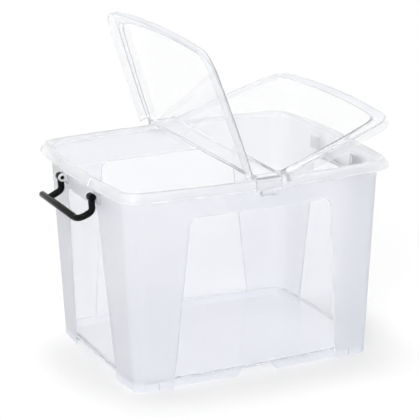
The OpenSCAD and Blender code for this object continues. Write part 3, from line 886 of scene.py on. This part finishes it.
# %% The handle
LEAN_IN, DIP = 4.0, 24.5                # in degrees, above the knee and past it
DROP, REACH = 21.0, 24.0                # from the pivot down to the knee, and from there to the grip
KNEE_R, ELBOW_R = 8.0, 13.0
KNEE_STEPS, ELBOW_STEPS = 12, 14
GRIP_OVER = 26.0                        # how far the grip runs past the long arm
ARM_START = 1.0                         # an arm begins inside its barrel
ARM_SHORT = 1.0                         # the long arm ends this far before the grip's middle
SWELL_L = 0.8                           # length over which the rod widens to the grip
LONG_RIBS, SHORT_RIBS = 3, 2
BEND = 90 + LEAN_IN - DIP
KNEE_CUT = KNEE_R * math.tan(math.radians(BEND / 2))
lean, dip = math.radians(LEAN_IN), math.radians(DIP)
DOWN = Vector((math.sin(lean), 0, -math.cos(lean)))
OUT = Vector((-math.cos(dip), 0, -math.sin(dip)))
ALONG = Vector((0, 1, 0))
TO_KNEE_CENTRE = Vector((-math.cos(lean), 0, -math.sin(lean)))
DOME = 3.8                              # length of the grip's domed end
DOME_RINGS = (20, 40, 60, 75, 86)       # in degrees round the dome


def handle_arm(bm, y):
    """From the pivot down and round the knee. Gives the ring there."""
    pivot = Vector((0, y, 0))
    ring = start_ring(bm, pivot + DOWN * ARM_START, DOWN, ROD_R)
    ring = push(bm, ring, DOWN * (DROP - KNEE_CUT - ARM_START))
    centre = pivot + DOWN * (DROP - KNEE_CUT) + TO_KNEE_CENTRE * KNEE_R
    return bend(bm, ring, centre, (0, 1, 0), BEND, KNEE_STEPS)


def rounded_end(bm, ring, direction, length):
    """Closes a rod with a domed end."""
    done, size = 0.0, 1.0
    for a in DOME_RINGS:
        along, wide = length * math.sin(math.radians(a)), math.cos(math.radians(a))
        ring = push(bm, ring, direction * (along - done), wide / size)
        done, size = along, wide


BARREL_R, BARREL_W, BARREL_ROUND, BARREL_STEPS = 6.0, 11.0, 1.0, 36
HANDLE_PIN_R, HANDLE_PIN_ROUND = 3.0, 1.2
PIN_FROM, PIN_TO = 4.0, CHEEK_IN + CHEEK_W


def barrel(bm, y, radius, width, rounding):
    """A short round bar across the arm, with rounded edges."""
    made = bmesh.ops.create_cone(bm, cap_ends=True, segments=BARREL_STEPS, radius1=radius,
                                 radius2=radius, depth=width)["verts"]
    turn(bm, made, math.radians(90), "X")
    bmesh.ops.translate(bm, vec=(0, y, 0), verts=made)
    round_edges(bm, sharp_rims(made), rounding, segments=4)


def make_handle(bm):
    """The handle of the -X end, with its pivot on the Y axis."""
    long_ring = ribs(bm, handle_arm(bm, ARM_Y), OUT, LONG_RIBS)
    push(bm, long_ring, OUT * (REACH - KNEE_CUT - LONG_RIBS * RIB_PITCH - ARM_SHORT))
    short_ring = ribs(bm, handle_arm(bm, -ARM_Y), OUT, SHORT_RIBS)
    elbow = Vector((0, ELBOW_R - ARM_Y, 0)) + DOWN * DROP + OUT * (REACH - ELBOW_R)
    short_ring = push(bm, short_ring, (elbow - ring_middle(short_ring)).dot(OUT) * OUT)
    ring = bend(bm, short_ring, elbow, OUT.cross(ALONG), 90, ELBOW_STEPS)
    ring = push(bm, ring, ALONG * SWELL_L, GRIP_R / ROD_R)
    ring = push(bm, ring, ALONG * (2 * ARM_Y - ELBOW_R + GRIP_OVER - SWELL_L - DOME))
    rounded_end(bm, ring, ALONG, DOME)
    close_ends(bm)
    pin_y, pin_l = ARM_Y - (PIN_FROM + PIN_TO) / 2, PIN_TO - PIN_FROM
    for side in (-1, 1):
        barrel(bm, side * ARM_Y, BARREL_R, BARREL_W, BARREL_ROUND)
        barrel(bm, side * pin_y, HANDLE_PIN_R, pin_l, HANDLE_PIN_ROUND)


for name, mirrored, body, node in (("handle_left_bail", False, "left_handle", "handle_left"),
                                   ("handle_right_bail", True, "right_handle", "handle_right")):
    bm = bmesh.new()
    make_handle(bm)
    bmesh.ops.translate(bm, vec=(-PIVOT_X, 0, PIVOT_Z), verts=bm.verts)
    if mirrored:
        bmesh.ops.scale(bm, vec=(-1, 1, 1), verts=bm.verts)
    bmesh.ops.recalc_face_normals(bm, faces=bm.faces)
    smooth_all(bm)
    bail = finish_piece(name, bm, (black,), body)
    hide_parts(node)

# %% [markdown]
# ## The studio
# The box stands on a floor of pale paper. Most of its brightness is real light on the paper, so
# that it keeps the soft shadow. A little glow, that only the eye and the plastic's bent and
# mirrored rays see, lifts it to full white.

# %% The floor
FLOOR_COLOUR, FLOOR_GLOW = 0.82, 0.055
FLOOR_HALF = 30                         # in metres


def math_of(nodes, links, operation, first, second):
    made = nodes.new("ShaderNodeMath")
    made.operation = operation
    for socket, value in zip(made.inputs, (first, second)):
        if isinstance(value, (int, float)):
            socket.default_value = value
        else:
            links.new(value, socket)
    return made.outputs[0]


def seen_by_eye(nodes, links, rays):
    """1 for rays from the camera, also mirrored or bent ones, and 0 once a ray is scattered."""
    mirrored, bent = rays.outputs["Is Glossy Ray"], rays.outputs["Is Transmission Ray"]
    clear = math_of(nodes, links, "MAXIMUM", mirrored, bent)
    unscattered = math_of(nodes, links, "LESS_THAN", rays.outputs["Diffuse Depth"], 0.5)
    return math_of(nodes, links, "MAXIMUM", rays.outputs["Is Camera Ray"],
                   math_of(nodes, links, "MULTIPLY", clear, unscattered))


bm = bmesh.new()
bmesh.ops.create_grid(bm, x_segments=1, y_segments=1, size=FLOOR_HALF)
mesh = bpy.data.meshes.new("floor")
bm.to_mesh(mesh)
bm.free()
floor = bpy.data.objects.new("floor", mesh)
bpy.context.scene.collection.objects.link(floor)
material, nodes, links = new_material("floor_white")
out = nodes.new("ShaderNodeOutputMaterial")
paper = nodes.new("ShaderNodeBsdfDiffuse")
paper.inputs["Color"].default_value = (FLOOR_COLOUR, FLOOR_COLOUR, FLOOR_COLOUR, 1)
shine = nodes.new("ShaderNodeEmission")
eye = seen_by_eye(nodes, links, nodes.new("ShaderNodeLightPath"))
links.new(math_of(nodes, links, "MULTIPLY", eye, FLOOR_GLOW), shine.inputs["Strength"])
both = nodes.new("ShaderNodeAddShader")
links.new(paper.outputs[0], both.inputs[0])
links.new(shine.outputs[0], both.inputs[1])
links.new(both.outputs[0], out.inputs["Surface"])
mesh.materials.append(material)
print("floor", FLOOR_COLOUR, "glow", FLOOR_GLOW)

# %% [markdown]
# The world looks white to the eye and through the plastic. It lights the scene as a room with pale
# walls and a dim ceiling, and two bright soft patches stand for softboxes. The one in the ceiling
# lets the rim's overhang drop its shadow round the foot. The one at the front left lights the two
# near walls, and glossy edges mirror it as small soft highlights. Lamps would light the box as
# well, but each slightly rough clear surface would gather their light once more. The world's light
# already reaches what stands behind the plastic, because the plastic is a plain see-through for
# shadow rays. So a scattered ray that comes out of the plastic sees no world at all, or that light
# would count twice.

# %% The world
WALL_LIGHT, CEILING_LIGHT = 0.78, 0.20
WALLS_END, CEILING_FROM = 0.4, 0.7      # on a ball of radius 1, walls turn to ceiling between these
PATCHES = (                             # (direction, angle where it fades, angle of its end, light)
    ((0.0, 0.12, 1.0), 9, 16, 12.5),
    ((-0.47, -0.645, 0.59), 9, 12, 7.5))
WHITE = (1, 1, 1, 1)
world = bpy.data.worlds.new("studio")
bpy.context.scene.world = world
world.use_nodes = True
nodes, links = world.node_tree.nodes, world.node_tree.links
nodes.clear()
out = nodes.new("ShaderNodeOutputWorld")
rays = nodes.new("ShaderNodeLightPath")
place = nodes.new("ShaderNodeTexCoord")
height = nodes.new("ShaderNodeSeparateXYZ")
links.new(place.outputs["Generated"], height.inputs[0])
light = map_range(nodes, links, height.outputs["Z"], WALLS_END, CEILING_FROM, WALL_LIGHT, CEILING_LIGHT)
for middle, fades_at, ends_at, strength in PATCHES:
    nearness = nodes.new("ShaderNodeVectorMath")
    nearness.operation = "DOT_PRODUCT"
    nearness.inputs[1].default_value = Vector(middle).normalized()
    links.new(place.outputs["Generated"], nearness.inputs[0])
    patch = map_range(nodes, links, nearness.outputs["Value"], math.cos(math.radians(ends_at)),
                      math.cos(math.radians(fades_at)), 0.0, strength)
    light = math_of(nodes, links, "ADD", light, patch)
fill = nodes.new("ShaderNodeBackground")
fill.inputs["Color"].default_value = WHITE
not_bent = math_of(nodes, links, "SUBTRACT", 1.0, rays.outputs["Is Transmission Ray"])
links.new(math_of(nodes, links, "MULTIPLY", not_bent, light), fill.inputs["Strength"])
white = nodes.new("ShaderNodeBackground")
white.inputs["Color"].default_value = WHITE
mirrored_light = math_of(nodes, links, "MULTIPLY", rays.outputs["Is Glossy Ray"], light)
links.new(math_of(nodes, links, "MAXIMUM", 1.0, mirrored_light), white.inputs["Strength"])
eye = seen_by_eye(nodes, links, rays)
links.new(mix_shaders(nodes, links, eye, fill.outputs[0], white.outputs[0]), out.inputs["Surface"])
print("walls", WALL_LIGHT, "ceiling", CEILING_LIGHT, "patches", [p[-1] for p in PATCHES])

# %% [markdown]
# A small lamp at the front left adds a touch of hard light to the world's soft light. It is weak,
# so that it doesn't wash out the shadow, and its glints hardly show.

# %% The lamp
BOX_MIDDLE = Vector((0, 0, 0.15))
light = bpy.data.lights.new("front_lamp", "AREA")
light.energy, light.size = 2.5, 0.12
lamp = bpy.data.objects.new("front_lamp", light)
bpy.context.scene.collection.objects.link(lamp)
lamp.location = (-1.5, -1.2, 1.5)
lamp.rotation_mode = "QUATERNION"
lamp.rotation_quaternion = (BOX_MIDDLE - lamp.location).to_track_quat("-Z", "Y")
print("lamp at", tuple(round(c, 2) for c in lamp.location), "watts", light.energy)

# %% [markdown]
# Many clear walls lie one behind the other here, so a ray needs more bounces than usual to get
# through all of them.

# %% Settings
MOST_BOUNCES, MOST_SEE_THROUGH = 24, 32
scene = bpy.context.scene
scene.view_settings.view_transform = "Standard"
scene.cycles.max_bounces = MOST_BOUNCES
scene.cycles.transmission_bounces = MOST_BOUNCES
scene.cycles.transparent_max_bounces = MOST_SEE_THROUGH
